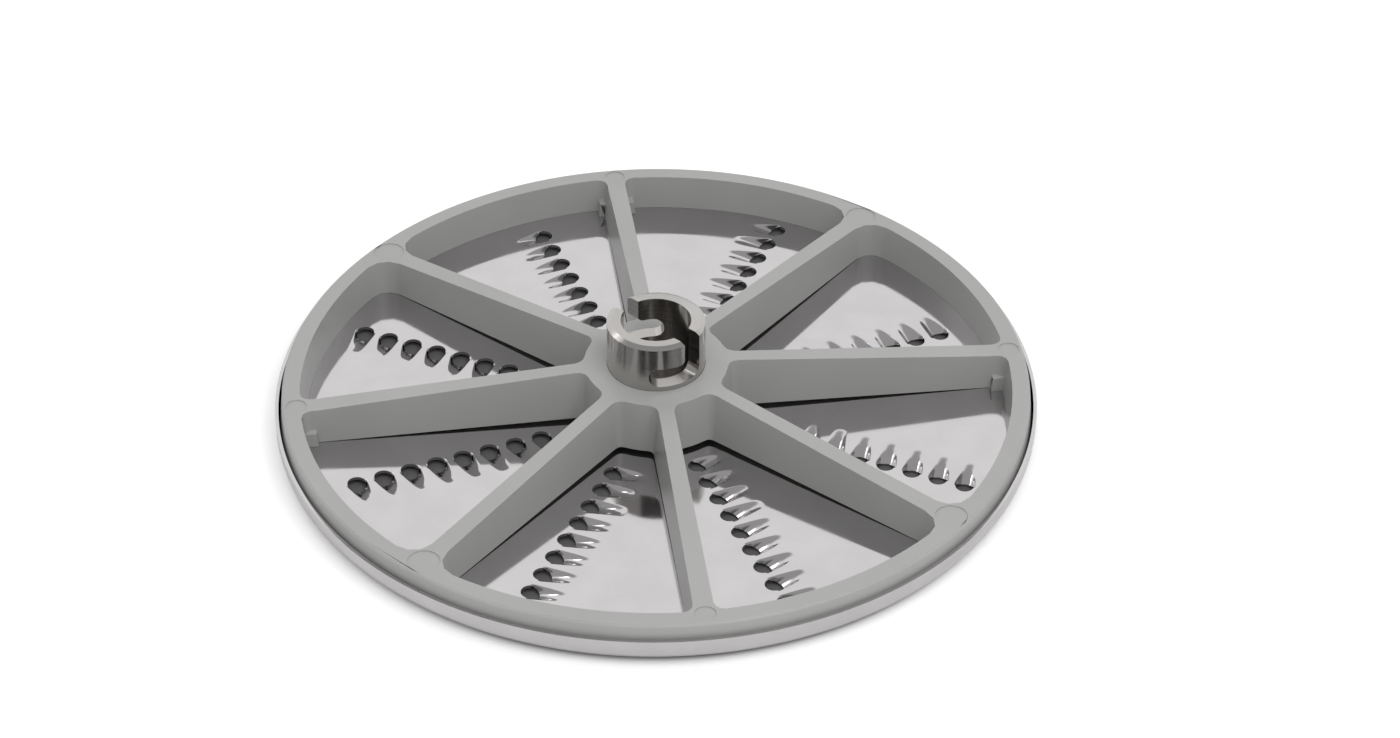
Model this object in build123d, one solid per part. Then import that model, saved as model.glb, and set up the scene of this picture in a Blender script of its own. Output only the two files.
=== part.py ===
from build123d import *
import math
import os

# Grating disc of a vegetable cutter, lying with its food side down.
# The disc's axis is Z, the open end of the drive hub points up and the tips of the
# grating teeth touch z = 0. One spoke of the frame lies along +X. Sizes in millimetres.

# Round bends and corners are drawn with flats, so that the many small ones stay light
bend_flats = 3  # in a quarter turn
hole_sides = 10  # round a grating hole and its scoop
mark_sides = 14  # round a pin mark

# Steel pan
disc_d = 185.0  # over the rim
sheet_t = 0.8
pan_corner_r = 4.0  # outside of the bend between floor and rim
rim_h = 6.5  # from the sheet's underside to the rim's top edge

# Grating teeth: round holes, each with a scoop pressed down into it from one side
hole_d = 4.4
scoop_w = 4.2
scoop_l = 7.9  # from the scoop's tail to the hole's middle
scoop_drop = 13.5  # degrees, slope of the scoop's floor
tooth_pitch = 6.6
row_first = 24.8  # innermost hole, measured out along the pocket's middle line
row_stagger = (5.3, 2.7, 0.0, 1.2)  # each row of half the disc starts this much further out
row_margin = 4.0  # least room from a hole's middle to the ring's wall
row_lean = 8.0  # degrees between the row of holes and the pocket's middle line
row_cross = 4.0  # radius where the two lines cross

# Moulded frame
spoke_count = 8
spoke_w = 6.4  # at the foot
draft = 5.5  # degrees, on every moulded wall
ring_h = 9.1  # ring's top above the sheet
ring_w = 5.8  # at the foot
rim_gap = 0.4  # between the ring and the pan's rim
ring_foot_c = 3.2  # chamfer that clears the pan's corner
foot_w = 4.4  # part of the ring that stands on the sheet
boss_d = 37.7  # at the foot
boss_rise = 4.9  # boss top above the ring's top
boss_gap = 1.0  # boss foot above the sheet
shoulder = 4.4  # level stretch of a spoke's top, in from the ring's top edge
edge_c = 0.5  # broken top edges
corner_wide_r = 4.6  # pocket corner beside a spoke with a wide pin mark
corner_tight_r = 1.6  # pocket corner beside a spoke with a pad
corner_hub_r = 1.5  # pocket corners at the boss

# Round ejector pin marks in the top of the ring
mark_wide_d = 7.5
mark_wide_in = 0.8  # from the foot of the ring's inner wall out to the mark's middle
mark_tight_d = 5.0
mark_tight_in = 1.8
mark_depth = 0.3

# Moulded pads at the outer foot of every other spoke
pad_out = 0.9  # from the pad's middle out to the foot of the ring's inner wall
pad_w = 9.6  # across the spoke
pad_l = 4.2
pad_h = 3.6

# Turned drive hub with two bayonet slots
hub_d = 23.8
hub_bore_d = 17.0
hub_rise = 12.5  # above the boss
hub_floor_t = 4.0  # closed end under the bore
hub_flange_d = 30.0
hub_flange_t = 3.0
hub_fit = 0.05  # radial room in the frame
hub_edge_w = 1.3
hub_edge_h = 0.6
slot_count = 2
slot_w = 5.2
slot_at = 131.0  # direction of the first slot's mouth, degrees from +X
slot_turn = 44.0  # clockwise turn from the mouth to the seat, degrees
slot_floor = 1.2  # lower edge of the slot's level run, above the boss
slot_corner_r = 1.4  # where the mouth's side turns into the level run

# Levels, radii and angles that follow
pan_r = disc_d / 2
tooth_h = (scoop_l - hole_d / 2) * math.tan(math.radians(scoop_drop))
sheet_under = tooth_h
sheet_top = sheet_under + sheet_t
ring_top = sheet_top + ring_h
boss_top = ring_top + boss_rise
hub_top = boss_top + hub_rise
ring_r = pan_r - sheet_t - rim_gap
pocket_r = ring_r - ring_w
mark_wide_at = pocket_r + mark_wide_in
mark_tight_at = pocket_r + mark_tight_in
pad_at = pocket_r - pad_out
boss_r = boss_d / 2
flange_top = sheet_top + hub_flange_t
spoke_step = 360 / spoke_count
pad_spokes = range(0, spoke_count, 2)
plain_spokes = range(1, spoke_count, 2)

# How far cutting tools reach past a face
overcut = 2.0

ON_TOP = (Align.CENTER, Align.CENTER, Align.MIN)
UNDER = (Align.CENTER, Align.CENTER, Align.MAX)


def drafted(height):
    """How far a moulded wall leans over the given height."""
    return height * math.tan(math.radians(draft))


def on_spokes(shape, spokes, at, height):
    """Copies of a shape at one radius and height on the given spokes."""
    return [Rot(Z=n * spoke_step) * Pos(X=at, Z=height) * shape for n in spokes]


def turned(points):
    """Turns a section of (radius, height) points about the disc's axis."""
    return revolve(Plane.XZ * make_face(Polyline(*points, close=True)), Axis.Z)


def bend(corner_r, corner_z, radius):
    """Points of a round bend between a level floor and an upright wall, from floor to wall."""
    steps = [n * math.pi / 2 / bend_flats for n in range(bend_flats + 1)]
    return [
        (corner_r - radius * (1 - math.sin(a)), corner_z + radius * (1 - math.cos(a)))
        for a in steps
    ]


def make_pan():
    inner_r = pan_r - sheet_t
    rim_top = sheet_under + rim_h
    outside = bend(pan_r, sheet_under, pan_corner_r)
    inside = bend(inner_r, sheet_top, pan_corner_r - sheet_t)
    rim = [(pan_r, rim_top), (inner_r, rim_top)]
    return turned([(0, sheet_under)] + outside + rim + inside[::-1] + [(0, sheet_top)])


def many_sided(width, sides):
    """Round outline drawn with flats, one of which faces along +Y."""
    return Rot(Z=90 - 180 / sides) * RegularPolygon(width / 2, sides, major_radius=False)


def make_scoop():
    """Round-bottomed trough that leads down into a hole at the origin. z = 0 is the sheet's top."""
    drop = math.radians(scoop_drop)
    along = Vector(0, -math.cos(drop), -math.sin(drop))
    across = Vector(0, -math.sin(drop), math.cos(drop))
    start = Vector(0, scoop_l, 0) + across * (scoop_w / 2) - along * overcut
    end = Plane(start, x_dir=(1, 0, 0), z_dir=along)
    return extrude(end * many_sided(scoop_w, hole_sides), overcut + scoop_l / math.cos(drop))


def tooth_places():
    """Middle of each grating hole on the sheet's top, row by row."""
    places = []
    lean = math.tan(math.radians(row_lean))
    for row in range(spoke_count):
        middle = Rot(Z=(row + 0.5) * spoke_step)
        out = row_first + row_stagger[row % len(row_stagger)]
        while out < pocket_r - row_margin:
            places.append(middle * Pos(out, lean * (row_cross - out), sheet_top))
            out += tooth_pitch
    return places


def make_plate():
    """Pan with its teeth. Pressing keeps the sheet's thickness below every scoop."""
    places = tooth_places()
    scoop = make_scoop()
    low_half = Box(tooth_pitch, 2 * scoop_l, sheet_t + tooth_h, align=UNDER)
    tooth = Pos(Z=-sheet_t) * scoop & Pos(Z=-sheet_t / 2) * low_half
    hole = extrude(many_sided(hole_d, hole_sides), sheet_t + tooth_h + overcut, both=True)
    plate = make_pan() + [place * tooth for place in places]
    return plate - [place * (scoop + hole) for place in places]


def make_frame_blank():
    """Ring, spoke tops and boss as one turned body, before the pockets are cut."""
    ring_top_r = ring_r - drafted(ring_h - ring_foot_c)
    points = [
        (0, sheet_top + boss_gap),
        (boss_r, sheet_top + boss_gap),
        (ring_r - ring_foot_c - foot_w, sheet_top),
        (ring_r - ring_foot_c, sheet_top),
        (ring_r, sheet_top + ring_foot_c),
        (ring_top_r, ring_top - edge_c),
        (ring_top_r - edge_c, ring_top),
        (pocket_r + drafted(ring_h) - shoulder, ring_top),
        (boss_r - drafted(ring_h + boss_rise), boss_top),
        (0, boss_top),
    ]
    return turned(points)


def rounded(face, corners):
    """Rounds an outline's corners, each given as a place and a radius."""
    for place, radius in corners:
        corner = min(face.vertices(), key=lambda v: (Vector(v) - Vector(place)).length)
        face = fillet(corner, radius)
    return face


def flattened(face):
    """Draws the rounded corners of an outline with flats and leaves its large arcs alone."""
    edges = []
    for edge in face.edges():
        if edge.geom_type == GeomType.CIRCLE and edge.radius < boss_r / 2:
            stops = [edge @ (n / bend_flats) for n in range(bend_flats + 1)]
            edges += Polyline(*stops).edges()
        else:
            edges.append(edge)
    return make_face(edges)


def pocket_outline(grow):
    """Opening between the first two spokes, its walls set back by grow from the foot's size."""
    half = math.radians(spoke_step / 2)
    apex = (spoke_w / 2 - grow) / math.sin(half)
    outer = pocket_r + grow
    inner = boss_r - grow
    tip = Vector(apex * math.cos(half), apex * math.sin(half))
    first = tip + Vector(disc_d, 0)
    second = tip + Vector(disc_d * math.cos(2 * half), disc_d * math.sin(2 * half))
    wedge = make_face(Polyline(tip, first, second, close=True))
    low = spoke_w / 2 - grow
    spoke_2 = math.radians(spoke_step)
    corners = []
    for radius, tight, wide in (
        (inner, corner_hub_r, corner_hub_r),
        (outer, corner_tight_r, corner_wide_r),
    ):
        turn = math.asin(low / radius)
        corners.append(((radius * math.cos(turn), low), tight + grow))
        turn = spoke_2 - turn
        corners.append(((radius * math.cos(turn), radius * math.sin(turn)), wide + grow))
    return flattened(rounded(wedge & (Circle(outer) - Circle(inner)), corners))


def make_pockets():
    """Tapered cutters for the openings between the spokes, in mirrored pairs."""
    top = boss_top + overcut
    outline = pocket_outline(drafted(top - sheet_top))
    prism = extrude(outline, top - sheet_top + overcut, taper=draft)
    cutter = Pos(Z=top) * mirror(prism, about=Plane.XY)
    pair = (cutter, Rot(Z=2 * spoke_step) * mirror(cutter, about=Plane.XZ))
    return [Rot(Z=n * spoke_step) * c for n in pad_spokes for c in pair]


def make_frame():
    frame = make_frame_blank() - make_pockets()
    pad = extrude(Rectangle(pad_l, pad_w), pad_h, taper=draft)
    frame += on_spokes(pad, pad_spokes, pad_at, sheet_top)
    for spokes, width, at in (
        (plain_spokes, mark_wide_d, mark_wide_at),
        (pad_spokes, mark_tight_d, mark_tight_at),
    ):
        mark = extrude(many_sided(width, mark_sides), mark_depth, both=True)
        frame -= on_spokes(mark, spokes, at, ring_top)
    frame -= Pos(Z=sheet_top) * Cylinder(hub_d / 2 + hub_fit, boss_top, align=ON_TOP)
    return frame - Pos(Z=flange_top) * Cylinder(hub_flange_d / 2 + hub_fit, boss_top, align=UNDER)


def make_bayonet_slot():
    """One slot with its mouth on +X: down from the hub's top, then level and clockwise."""
    mill_r = slot_w / 2
    reach = hub_d / 2 + overcut
    level = boss_top + slot_floor + mill_r
    mill = Rot(Y=90) * Cylinder(mill_r, reach, align=ON_TOP)
    mouth = Box(reach, slot_w, hub_top - level + overcut, align=(Align.MIN, Align.CENTER, Align.MIN))
    section = Rectangle(reach, slot_w, align=(Align.MIN, Align.CENTER))
    run = Rot(Z=-slot_turn) * revolve(Plane.XZ * section, Axis.Z, slot_turn)
    corner = Box(reach, slot_corner_r, slot_corner_r, align=(Align.MIN, Align.MIN, Align.MAX))
    corner -= Rot(Y=90) * Cylinder(slot_corner_r, reach, align=ON_TOP)
    corner = Pos(Y=-mill_r - slot_corner_r, Z=mill_r + slot_corner_r) * corner
    return Pos(Z=level) * (mouth + mill + corner + run + Rot(Z=-slot_turn) * mill)


def make_hub():
    hub_r = hub_d / 2
    bore_r = hub_bore_d / 2
    flange_r = hub_flange_d / 2
    bore_floor = sheet_top + hub_floor_t
    points = (
        (0, sheet_top),
        (flange_r, sheet_top),
        (flange_r, flange_top),
        (hub_r, flange_top),
        (hub_r, hub_top - hub_edge_h),
        (hub_r - hub_edge_w, hub_top),
        (bore_r, hub_top),
        (bore_r, bore_floor),
        (0, bore_floor),
    )
    slot = make_bayonet_slot()
    turns = [slot_at + n * 360 / slot_count for n in range(slot_count)]
    return turned(points) - [Rot(Z=turn) * slot for turn in turns]


pieces = {
    "support_frame": make_frame(),
    "grating_plate": make_plate(),
    "drive_hub": make_hub(),
}

os.makedirs("parts", exist_ok=True)
for name, shape in pieces.items():
    export_step(shape, f"parts/{name}.step")
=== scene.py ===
import math

import bmesh
import bpy
from mathutils import Matrix, Vector


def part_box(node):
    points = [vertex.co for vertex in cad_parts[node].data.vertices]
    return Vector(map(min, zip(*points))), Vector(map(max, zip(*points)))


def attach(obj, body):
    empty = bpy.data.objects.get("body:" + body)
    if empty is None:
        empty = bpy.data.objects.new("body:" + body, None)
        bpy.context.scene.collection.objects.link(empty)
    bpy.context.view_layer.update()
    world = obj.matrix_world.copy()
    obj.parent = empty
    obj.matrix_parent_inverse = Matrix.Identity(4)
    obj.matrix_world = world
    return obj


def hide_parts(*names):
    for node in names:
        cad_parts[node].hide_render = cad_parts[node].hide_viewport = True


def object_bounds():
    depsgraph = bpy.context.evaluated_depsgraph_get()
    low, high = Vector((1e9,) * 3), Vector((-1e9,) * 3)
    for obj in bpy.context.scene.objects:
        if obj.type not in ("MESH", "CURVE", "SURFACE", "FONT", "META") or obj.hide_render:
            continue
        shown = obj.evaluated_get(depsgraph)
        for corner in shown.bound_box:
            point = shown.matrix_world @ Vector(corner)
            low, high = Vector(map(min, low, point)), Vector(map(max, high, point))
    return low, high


# Looks of a grating disc that lies with its food side down on a white table.
# Modifiers round the edges of the plastic frame and the steel hub and shade their curves smooth.
# A smooth pressed sheet of the same sizes takes the place of the plate's faceted solid.

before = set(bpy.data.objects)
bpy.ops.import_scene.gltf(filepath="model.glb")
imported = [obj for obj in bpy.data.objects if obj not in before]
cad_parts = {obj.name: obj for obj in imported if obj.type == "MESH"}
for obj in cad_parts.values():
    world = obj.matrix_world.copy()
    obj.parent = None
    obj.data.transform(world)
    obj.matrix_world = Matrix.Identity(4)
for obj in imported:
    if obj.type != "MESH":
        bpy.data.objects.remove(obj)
cad_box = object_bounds()

MM = 0.001

# Levels and radii of the disc: the ring's height is set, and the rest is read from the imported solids
RING_H = 9.1 * MM  # ring's top above the sheet
sheet_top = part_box("support_frame")[0].z
ring_top = sheet_top + RING_H
rim_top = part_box("grating_plate")[1].z
disc_r = -cad_box[0].x

# Pressed sheet and its teeth
SHEET_T = 0.8 * MM
BEND_R = 4.0 * MM  # outside of the pan's bend
HOLE_R = 2.2 * MM
SCOOP_W = 2.15 * MM  # half width of the scoop at its lip
SCOOP_L = 7.9 * MM  # from the scoop's tail to the hole's middle
SCOOP_LIP = 1.368 * MM  # depth of the scoop at its lip
TAIL_SHARE = 0.32  # share of the depth that the scoop's blunt tail gives
TAIL_CURVE = 0.7  # below 1, the floor falls steeply from the tail
LIP_CURVE = 1.9  # above 1, the floor falls steeply to the lip
SCOOP_BOWL = 3.2  # above 2, the scoop's floor is flatter and its walls are steeper
SHOULDER_R = 0.45 * MM  # softness of the scoop's edges
TAIL_FADE = (-2.5 * SHOULDER_R, 1.5 * SHOULDER_R)  # the pressing grows over this stretch at the tail
HOLE_FADE = (-0.2 * HOLE_R, 0.3 * HOLE_R)  # and over this stretch beside the hole

# Rows of teeth
SPOKES = 8
TOOTH_PITCH = 6.6 * MM
ROW_FIRST = 24.8 * MM  # innermost hole, measured out along the pocket's middle line
ROW_STAGGER = (5.3 * MM, 2.7 * MM, 0.0, 1.2 * MM)  # each row of half the disc starts this much further out
ROW_LAST = 81.5 * MM  # no hole's middle lies further out
ROW_LEAN = 8.0  # degrees between the row of holes and the pocket's middle line
ROW_CROSS = 4.0 * MM  # radius where the two lines cross

# Mesh of the pressed sheet
AREA_R = 3.05 * MM  # half width of the area that a scoop is pressed into
AREA_L = 6.6 * MM
TOOTH_POINTS = 52
TOOTH_STEPS = 12
PAN_POINTS = 192
BEND_STEPS = 8
FLAT_EDGE = 0.5 * MM  # level strip inside the pan's bend

# Edges of the frame and the hub
WELD_GAP = 0.002 * MM
FLAT_ANGLE = math.radians(0.5)  # facets that bend less than this are joined
EDGE_STEPS = 3
FLAT_WEIGHT = 100  # large flat faces set the shading, as far as the modifier goes

# Camera, fitted to the photograph
PHOTO_W = 1400  # pixels
FOCAL_PX = 3443.5
SENSOR = 36.0  # millimetres
CAM_AZIMUTH = -96.99  # degrees from +X, seen from the disc
CAM_ELEVATION = 37.539
CAM_DISTANCE = 837.2 * MM
CAM_YAW = 0.728  # degrees to the right of the ring's centre
CAM_PITCH = 0.132
CAM_ROLL = -0.341
CAM_NEAR = 10.0 * MM

# Colours, from the darkest to the lightest
PLASTIC = ((0.39, 0.394, 0.384), (0.414, 0.416, 0.408))
ROLLED_STEEL = ((0.6, 0.58, 0.59), (0.645, 0.625, 0.635))
TURNED_STEEL = ((0.49, 0.475, 0.46), (0.54, 0.525, 0.51))
TABLE_SHADE_AND_WHITE = ((0.12, 0.12, 0.12), (0.86, 0.86, 0.86))  # painted shade under the disc, and white beside it
WHITE = (1.0, 1.0, 1.0, 1.0)

# Roughness, from the glossiest to the dullest
PLASTIC_ROUGH = (0.285, 0.345)
ROLLED_ROUGH = (0.05, 0.1)
TURNED_ROUGH = (0.17, 0.23)
PRESSED_ROUGH = 0.16
PRESSED_FROM = sheet_top - 0.05 * MM  # level where the pressed sheet starts to dull
PRESSED_FULL = sheet_top - 0.5 * MM

# Noise textures: features in a metre, layers of finer detail, and for some a stretch of X, Y and Z
CLOUDS = (45.0, 1.0)
GRAIN = (1800.0, 2.0)
ROLLING = (900.0, 3.0, (1.0, 0.03, 1.0))
SMUDGES = (110.0, 6.0)
TOOL_LINES = (60.0, 2.0, (1.0, 1.0, 40.0))
NOISE_RANGE = (0.2, 0.8)  # most values of a noise lie between these

# Bumps: their height and their strength
GRAIN_BUMP = (0.02 * MM, 0.3)
ROLLING_BUMP = (0.004 * MM, 0.5)

# Gloss of the plastic, and how far the turned steel's gloss is drawn out along its tool lines
PLASTIC_GLOSS = 0.5
TURNED_STREAK = 0.8
TURNED_STREAK_WAY = 0.25  # of a full turn

# Table: its half width, its glow for the camera, and the radii where it turns from painted shade under the
# disc to open white
TABLE_REACH = 6.0
TABLE_GLOW = 0.3
TABLE_EDGE = (0.94 * disc_r, 0.99 * disc_r)

# White room: its light on the disc, and its parts as the camera and gloss see them
ROOM_LIGHT = 0.54
ROOM_WHITE = 1.0
ROOM_GREY = 0.42
ROOM_DARK = 0.06

# Where gloss sees them, from none to full, by the parts of a unit direction or by an angle about Z
WALL_Y = (0.3, 0.55)  # white wall behind the disc
WALL_Z = (0.8, 0.69)
GAP_TURN = math.radians(13)  # middle of the dark gap at the camera, from -Y towards -X
GAP_ASIDE = (math.radians(40), math.radians(28))  # to each side of that
GAP_Z = (0.95, 0.75)


def put(name, data):
    """New object in the scene."""
    obj = bpy.data.objects.new(name, data)
    bpy.context.scene.collection.objects.link(obj)
    return obj


def turned_pair(first, second, degrees):
    """Two square axes, with the first turned towards the second."""
    a = math.radians(degrees)
    return (
        first * math.cos(a) + second * math.sin(a),
        second * math.cos(a) - first * math.sin(a),
    )


def put_camera():
    """Camera that looks at the middle of the ring's top, then turns to the photo's framing."""
    az, el = math.radians(CAM_AZIMUTH), math.radians(CAM_ELEVATION)
    back = Vector((math.cos(el) * math.cos(az), math.cos(el) * math.sin(az), math.sin(el)))
    ahead = -back
    right = ahead.cross(Vector((0, 0, 1))).normalized()
    up = right.cross(ahead)
    ahead, right = turned_pair(ahead, right, CAM_YAW)
    ahead, up = turned_pair(ahead, up, CAM_PITCH)
    right, up = turned_pair(right, up, CAM_ROLL)
    data = bpy.data.cameras.new("photo_camera")
    data.sensor_width = SENSOR
    data.lens = SENSOR * FOCAL_PX / PHOTO_W
    data.clip_start = CAM_NEAR
    camera = put("photo_camera", data)
    turn = Matrix((right, up, -ahead)).transposed().to_4x4()
    camera.matrix_world = Matrix.Translation(Vector((0, 0, ring_top)) + back * CAM_DISTANCE) @ turn
    bpy.context.scene.camera = camera


def plug(tree, node, **inputs):
    """Fills a node's sockets, by name or as i and a number, with values or with other sockets."""
    for name, value in inputs.items():
        numbered = name[0] == "i" and name[1:].isdigit()
        socket = node.inputs[int(name[1:]) if numbered else name.replace("_", " ")]
        if isinstance(value, bpy.types.NodeSocket):
            tree.links.new(value, socket)
        else:
            socket.default_value = value


def add(tree, kind, settings=None, **inputs):
    """Adds a node. Settings are its own properties, and inputs fill its sockets."""
    node = tree.nodes.new(kind)
    for name, value in (settings or {}).items():
        setattr(node, name, value)
    plug(tree, node, **inputs)
    return node


def empty_tree(owner):
    """Node tree of a material or a world, without its default nodes."""
    owner.use_nodes = True
    owner.node_tree.nodes.clear()
    return owner.node_tree


def new_material(name):
    """Node material with a principled shader. Returns it with its tree and that shader."""
    material = bpy.data.materials.new(name)
    tree = empty_tree(material)
    shader = add(tree, "ShaderNodeBsdfPrincipled")
    add(tree, "ShaderNodeOutputMaterial", Surface=shader.outputs[0])
    return material, tree, shader


def calc(tree, operation, a, b=0.0):
    """Result of one operation on one or two values."""
    return add(tree, "ShaderNodeMath", {"operation": operation}, i0=a, i1=b).outputs[0]


def noise(tree, place, scale, detail, stretch=None):
    """Noise of features about 1/scale metres wide, stretched if three factors are given."""
    if stretch:
        place = add(tree, "ShaderNodeMapping", Vector=place, Scale=stretch).outputs[0]
    return add(tree, "ShaderNodeTexNoise", Vector=place, Scale=scale, Detail=detail).outputs["Fac"]


def map_softly(tree, value, from_low, from_high, low, high):
    """Maps a value from one range to another, softly at both ends."""
    return add(
        tree,
        "ShaderNodeMapRange",
        {"interpolation_type": "SMOOTHSTEP"},
        Value=value,
        From_Min=from_low,
        From_Max=from_high,
        To_Min=low,
        To_Max=high,
    ).outputs[0]


def spread(tree, value, low, high):
    """Spreads a noise value over low to high."""
    return map_softly(tree, value, *NOISE_RANGE, low, high)


def ease(tree, value, none_at, full_at):
    """Share from 0 to 1 that grows softly between two values."""
    return map_softly(tree, value, none_at, full_at, 0.0, 1.0)


def blend_colours(tree, value, low, high):
    """Colour between two, by a noise value or a share."""
    ramp = add(tree, "ShaderNodeValToRGB", Fac=value)
    ramp.color_ramp.interpolation = "EASE"
    for stop, at, colour in zip(ramp.color_ramp.elements, NOISE_RANGE, (low, high)):
        stop.position = at
        stop.color = (*colour, 1)
    return ramp.outputs["Color"]


def bumped(tree, height, distance, strength):
    """Normal that a bump texture tilts."""
    return add(
        tree, "ShaderNodeBump", Strength=strength, Distance=distance, Height=height
    ).outputs["Normal"]


def make_plastic():
    """Satin grey moulded plastic with faint clouds and a fine moulded grain."""
    material, tree, shader = new_material("grey_moulded_plastic")
    place = add(tree, "ShaderNodeTexCoord").outputs["Object"]
    clouds = noise(tree, place, *CLOUDS)
    grain = noise(tree, place, *GRAIN)
    plug(
        tree,
        shader,
        Base_Color=blend_colours(tree, clouds, *PLASTIC),
        Roughness=spread(tree, clouds, *PLASTIC_ROUGH),
        Normal=bumped(tree, grain, *GRAIN_BUMP),
        Specular_IOR_Level=PLASTIC_GLOSS,
    )
    return material


def make_plate_steel():
    """Bright rolled sheet: near mirror, with rolling lines and smudges, duller where it is pressed."""
    material, tree, shader = new_material("rolled_steel")
    place = add(tree, "ShaderNodeTexCoord").outputs["Object"]
    rolled = noise(tree, place, *ROLLING)
    smudge = noise(tree, place, *SMUDGES)
    pressed = add(
        tree,
        "ShaderNodeMapRange",
        Value=add(tree, "ShaderNodeSeparateXYZ", i0=place).outputs["Z"],
        From_Min=PRESSED_FULL,
        From_Max=PRESSED_FROM,
        To_Min=PRESSED_ROUGH,
        To_Max=0.0,
    ).outputs[0]
    plug(
        tree,
        shader,
        Metallic=1.0,
        Base_Color=blend_colours(tree, smudge, *ROLLED_STEEL),
        Roughness=calc(tree, "MAXIMUM", spread(tree, smudge, *ROLLED_ROUGH), pressed),
        Normal=bumped(tree, rolled, *ROLLING_BUMP),
    )
    return material


def make_hub_steel():
    """Turned steel: fine tool lines round the axis."""
    material, tree, shader = new_material("turned_steel")
    place = add(tree, "ShaderNodeTexCoord").outputs["Object"]
    lines = noise(tree, place, *TOOL_LINES)
    round_axis = add(tree, "ShaderNodeTangent", {"direction_type": "RADIAL", "axis": "Z"}).outputs[0]
    plug(
        tree,
        shader,
        Metallic=1.0,
        Base_Color=blend_colours(tree, lines, *TURNED_STEEL),
        Roughness=spread(tree, lines, *TURNED_ROUGH),
        Anisotropic=TURNED_STREAK,
        Anisotropic_Rotation=TURNED_STREAK_WAY,
        Tangent=round_axis,
    )
    return material


def modifier_nodes(name):
    """Empty modifier node group. Returns it with its incoming geometry and its output socket."""
    tree = bpy.data.node_groups.new(name, "GeometryNodeTree")
    for way in ("INPUT", "OUTPUT"):
        tree.interface.new_socket("Geometry", in_out=way, socket_type="NodeSocketGeometry")
    start = tree.nodes.new("NodeGroupInput").outputs[0]
    end = tree.nodes.new("NodeGroupOutput").inputs[0]
    return tree, start, end


def sharper_than(tree, degrees):
    """Whether an edge bends by more than the given angle."""
    angle = add(tree, "GeometryNodeInputMeshEdgeAngle").outputs["Unsigned Angle"]
    limit = math.radians(degrees)
    return add(tree, "FunctionNodeCompare", {"operation": "GREATER_THAN"}, i0=angle, i1=limit).outputs[0]


def weigh_edges(name, degrees):
    """Modifier nodes that drop stored normals and mark the edges that are to be rounded."""
    tree, start, end = modifier_nodes(name)
    bare = add(tree, "GeometryNodeRemoveAttribute", Geometry=start, Name="custom_normal").outputs[0]
    stored = add(
        tree,
        "GeometryNodeStoreNamedAttribute",
        {"data_type": "FLOAT", "domain": "EDGE"},
        Geometry=bare,
        Name="bevel_weight_edge",
        Value=sharper_than(tree, degrees),
    )
    tree.links.new(stored.outputs[0], end)
    return tree


def shade_by_angle(name, degrees):
    """Modifier nodes that shade smooth all but the sharper edges."""
    tree, start, end = modifier_nodes(name)
    smooth = add(
        tree, "GeometryNodeSetShadeSmooth", {"domain": "FACE"}, Geometry=start, Shade_Smooth=True
    )
    cut = add(
        tree,
        "GeometryNodeSetShadeSmooth",
        {"domain": "EDGE"},
        Geometry=smooth.outputs[0],
        Selection=sharper_than(tree, degrees),
        Shade_Smooth=False,
    )
    tree.links.new(cut.outputs[0], end)
    return tree


def soften(node, width, degrees):
    """Welds a solid's facets, rounds its sharper edges and shades the rest smooth."""
    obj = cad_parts[node]
    weld = obj.modifiers.new("weld", "WELD")
    weld.merge_threshold = WELD_GAP
    flat = obj.modifiers.new("flat_faces", "DECIMATE")
    flat.decimate_type = "DISSOLVE"
    flat.angle_limit = FLAT_ANGLE
    weigh = obj.modifiers.new("edge_weights", "NODES")
    weigh.node_group = weigh_edges(node + "_weights", degrees)
    bevel = obj.modifiers.new("round_edges", "BEVEL")
    bevel.width = width
    bevel.segments = EDGE_STEPS
    bevel.limit_method = "WEIGHT"
    bevel.use_clamp_overlap = True
    shade = obj.modifiers.new("smooth_curves", "NODES")
    shade.node_group = shade_by_angle(node + "_smooth", degrees)
    even = obj.modifiers.new("flat_faces_lead", "WEIGHTED_NORMAL")
    even.mode = "FACE_AREA"
    even.weight = FLAT_WEIGHT
    even.keep_sharp = True


def dress(node, material):
    """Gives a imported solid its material."""
    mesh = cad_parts[node].data
    mesh.materials.clear()
    mesh.materials.append(material)


def soft_share(value, none_at, full_at):
    """Share from 0 to 1 that grows softly between two values."""
    share = min(max((value - none_at) / (full_at - none_at), 0.0), 1.0)
    return share * share * (3 - 2 * share)


def scoop_depth(u, v):
    """How deep the pressed sheet lies at a place seen from a hole's middle, its tail towards +v."""
    way = max(SCOOP_L - v, 0.0) / (SCOOP_L - HOLE_R)
    floor_at = TAIL_SHARE * way**TAIL_CURVE + (1 - TAIL_SHARE) * way**LIP_CURVE
    trough = SCOOP_LIP * (floor_at - (abs(u) / SCOOP_W) ** SCOOP_BOWL)
    near = max(SHOULDER_R - abs(trough), 0.0)
    depth = max(trough, 0.0) + near**2 / (4 * SHOULDER_R)
    return depth * soft_share(SCOOP_L - v, *TAIL_FADE) * soft_share(v, *HOLE_FADE)


def tooth_outlines():
    """Points round a hole, and round the long area about it that its scoop is pressed into."""
    hole, area = [], []
    arc = math.pi / 2 * AREA_R
    half = 2 * arc + AREA_L
    for n in range(TOOTH_POINTS):
        share = n / TOOTH_POINTS
        a = 2 * math.pi * share - math.pi / 2
        hole.append((HOLE_R * math.cos(a), HOLE_R * math.sin(a)))
        side = 1 if share <= 0.5 else -1
        way = 2 * half * min(share, 1 - share)
        if way < arc:
            b = way / AREA_R - math.pi / 2
            area.append((side * AREA_R * math.cos(b), AREA_R * math.sin(b)))
        elif way < arc + AREA_L:
            area.append((side * AREA_R, way - arc))
        else:
            b = (way - arc - AREA_L) / AREA_R
            area.append((side * AREA_R * math.cos(b), AREA_L + AREA_R * math.sin(b)))
    return hole, area


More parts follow.
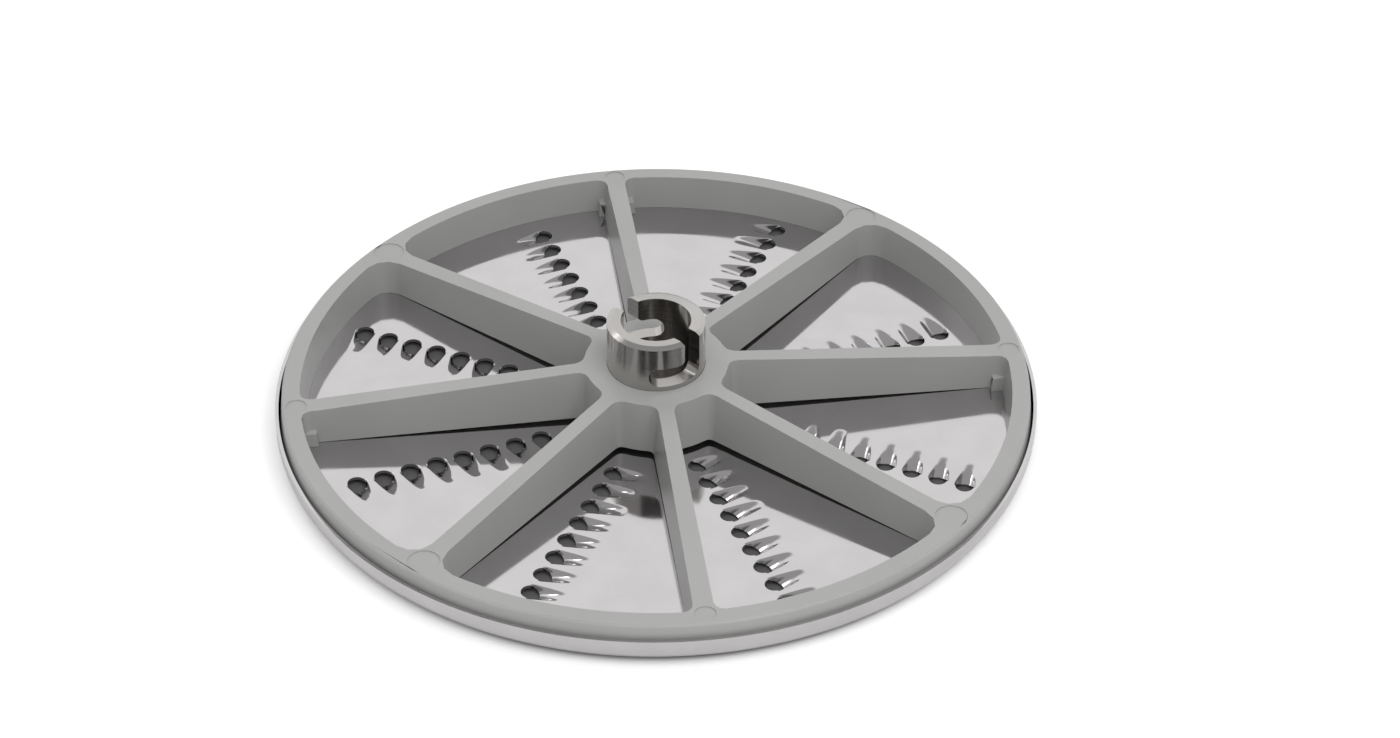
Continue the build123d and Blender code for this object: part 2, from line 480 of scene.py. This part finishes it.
def tooth_places():
    """Middle of each hole and the direction of its pocket, row by row."""
    places = []
    lean = math.tan(math.radians(ROW_LEAN))
    for row in range(SPOKES):
        turn = math.radians((row + 0.5) * 360 / SPOKES)
        out = ROW_FIRST + ROW_STAGGER[row % len(ROW_STAGGER)]
        while out < ROW_LAST:
            places.append((out, lean * (ROW_CROSS - out), turn))
            out += TOOTH_PITCH
    return places


def ring_of(bm, radius, height):
    """Points of a level circle about the disc's axis."""
    steps = [2 * math.pi * n / PAN_POINTS for n in range(PAN_POINTS)]
    return [bm.verts.new((radius * math.cos(a), radius * math.sin(a), height)) for a in steps]


def bridge(bm, first, second):
    """Quads between two closed rows of points."""
    for n in range(len(first)):
        m = (n + 1) % len(first)
        bm.faces.new((first[m], first[n], second[n], second[m]))


def loop_edges(bm, points):
    """Edges of a closed row of points that has faces on one side."""
    return [bm.edges.get((points[n - 1], points[n])) for n in range(len(points))]


def press_tooth(bm, place, outlines):
    """Smooth sheet round one hole. Returns the points of its outer edge."""
    x, y, turn = place
    rows = []
    for step in range(TOOTH_STEPS + 1):
        share = step / TOOTH_STEPS
        row = []
        for (hu, hv), (au, av) in zip(*outlines):
            u, v = hu + (au - hu) * share, hv + (av - hv) * share
            depth = scoop_depth(u, v) if step < TOOTH_STEPS - 1 else 0.0
            px, py = x + u, y + v
            east = px * math.cos(turn) - py * math.sin(turn)
            north = px * math.sin(turn) + py * math.cos(turn)
            row.append(bm.verts.new((east, north, sheet_top - depth)))
        rows.append(row)
    for inner, outer in zip(rows, rows[1:]):
        bridge(bm, inner, outer)
    return rows[-1]


def press_pan(bm):
    """Bend and rim of the pan. Returns the points of its flat inner edge."""
    inner_r = disc_r - SHEET_T
    bend_r = BEND_R - SHEET_T
    rings = [ring_of(bm, inner_r - bend_r - FLAT_EDGE, sheet_top)]
    for n in range(BEND_STEPS + 1):
        a = math.pi / 2 * n / BEND_STEPS
        out = inner_r - bend_r * (1 - math.sin(a))
        rings.append(ring_of(bm, out, sheet_top + bend_r * (1 - math.cos(a))))
    rings.append(ring_of(bm, inner_r, rim_top))
    for low, high in zip(rings, rings[1:]):
        bridge(bm, low, high)
    return rings[0]


def thicken(bm, depth):
    """Gives a skin a second skin below it, and walls between their open edges."""
    bm.normal_update()
    skin = list(bm.faces)
    rims = [e for e in bm.edges if e.is_boundary]
    below = {v: bm.verts.new(v.co - v.normal * depth) for v in list(bm.verts)}
    for face in skin:
        bm.faces.new([below[v] for v in reversed(face.verts)])
    for edge in rims:
        loop = edge.link_loops[0]
        a, b = loop.vert, loop.link_loop_next.vert
        bm.faces.new((b, a, below[a], below[b]))
        edge.smooth = False
        bm.edges.get((below[a], below[b])).smooth = False


def press_sheet():
    """Mesh of the steel pan with smooth scoops."""
    bm = bmesh.new()
    outlines = tooth_outlines()
    edges = loop_edges(bm, press_pan(bm))
    for place in tooth_places():
        edges += loop_edges(bm, press_tooth(bm, place, outlines))
    bmesh.ops.triangle_fill(bm, use_beauty=True, edges=edges, normal=(0, 0, 1))
    bmesh.ops.recalc_face_normals(bm, faces=bm.faces)
    if sum(face.normal.z for face in bm.faces) < 0:
        bmesh.ops.reverse_faces(bm, faces=bm.faces)
    thicken(bm, SHEET_T)
    for face in bm.faces:
        face.smooth = True
    mesh = bpy.data.meshes.new("pressed_plate")
    bm.to_mesh(mesh)
    bm.free()
    return mesh


def make_plate(material):
    """Pressed steel plate, in the place of its faceted solid."""
    plate = put("pressed_plate", press_sheet())
    plate.data.materials.append(material)
    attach(plate, "root")
    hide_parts("grating_plate")


def make_paper():
    """White of the table. For the camera it glows a little, but under the disc its colour is dark, a
    painted shade.
    """
    material = bpy.data.materials.new("white_table")
    tree = empty_tree(material)
    place = add(tree, "ShaderNodeTexCoord").outputs["Object"]
    out = add(tree, "ShaderNodeVectorMath", {"operation": "LENGTH"}, i0=place).outputs["Value"]
    # share of the table beyond the disc; under the disc the table's colour is a painted shade
    out_of_painted_shade = ease(tree, out, *TABLE_EDGE)
    camera_ray = add(tree, "ShaderNodeLightPath").outputs["Is Camera Ray"]
    shown = calc(tree, "MULTIPLY", camera_ray, out_of_painted_shade)
    strength = calc(tree, "MULTIPLY", shown, TABLE_GLOW)
    paper = add(tree, "ShaderNodeBsdfDiffuse", Color=blend_colours(tree, out_of_painted_shade, *TABLE_SHADE_AND_WHITE))
    light = add(tree, "ShaderNodeEmission", Color=WHITE, Strength=strength)
    both = add(tree, "ShaderNodeAddShader", i0=paper.outputs[0], i1=light.outputs[0])
    add(tree, "ShaderNodeOutputMaterial", Surface=both.outputs[0])
    return material


def put_floor():
    """Level table that the teeth's tips stand on."""
    mesh = bpy.data.meshes.new("table")
    corners = [(x * TABLE_REACH, y * TABLE_REACH, 0) for x, y in ((-1, -1), (1, -1), (1, 1), (-1, 1))]
    mesh.from_pydata(corners, [], [(0, 1, 2, 3)])
    mesh.materials.append(make_paper())
    floor = put("table", mesh)


def light_of(tree, strength):
    """White background light."""
    return add(tree, "ShaderNodeBackground", Color=WHITE, Strength=strength).outputs[0]


def mix(tree, share, first, second):
    """Light between two, by a share from 0 to 1."""
    return add(tree, "ShaderNodeMixShader", i0=share, i1=first, i2=second).outputs[0]


def far_wall(tree, way):
    """Share of the white wall behind the disc in a direction."""
    return calc(tree, "MULTIPLY", ease(tree, way["Y"], *WALL_Y), ease(tree, way["Z"], *WALL_Z))


def camera_gap(tree, way):
    """Share of the dark gap at the camera in a direction."""
    turn = calc(tree, "ARCTAN2", way["X"], calc(tree, "MULTIPLY", way["Y"], -1.0))
    aside = calc(tree, "ABSOLUTE", calc(tree, "ADD", turn, GAP_TURN))
    return calc(tree, "MULTIPLY", ease(tree, aside, *GAP_ASIDE), ease(tree, way["Z"], *GAP_Z))


def put_world():
    """Soft white room. Gloss sees a white wall behind the disc, else grey, and dark at the camera."""
    world = bpy.data.worlds.new("white_room")
    bpy.context.scene.world = world
    tree = empty_tree(world)
    place = add(tree, "ShaderNodeTexCoord").outputs["Generated"]
    way = add(tree, "ShaderNodeSeparateXYZ", i0=place).outputs
    ray = add(tree, "ShaderNodeLightPath").outputs
    white = light_of(tree, ROOM_WHITE)
    walls = mix(tree, far_wall(tree, way), light_of(tree, ROOM_GREY), white)
    gloss = mix(tree, camera_gap(tree, way), walls, light_of(tree, ROOM_DARK))
    room = mix(tree, ray["Is Glossy Ray"], light_of(tree, ROOM_LIGHT), gloss)
    add(tree, "ShaderNodeOutputWorld", Surface=mix(tree, ray["Is Camera Ray"], room, white))


def put_lamp(name, place, size, watts, mirrored):
    """Soft box that faces the disc, and whether metal mirrors it."""
    data = bpy.data.lights.new(name, "AREA")
    data.energy = watts
    data.size = size
    lamp = put(name, data)
    lamp.location = place
    lamp.rotation_euler = (-Vector(place)).to_track_quat("-Z", "Y").to_euler()
    lamp.visible_glossy = mirrored


bpy.context.scene.view_settings.view_transform = "Standard"
put_camera()
put_world()
put_floor()
put_lamp("key", place=(0.2, -0.6, 1.08), size=1.0, watts=8.6, mirrored=False)
put_lamp("spark", place=(-0.4, 0.66, 0.92), size=0.24, watts=0.6, mirrored=True)

dress("support_frame", make_plastic())
make_plate(make_plate_steel())
dress("drive_hub", make_hub_steel())
soften("support_frame", width=0.5 * MM, degrees=32.0)
soften("drive_hub", width=0.12 * MM, degrees=20.0)
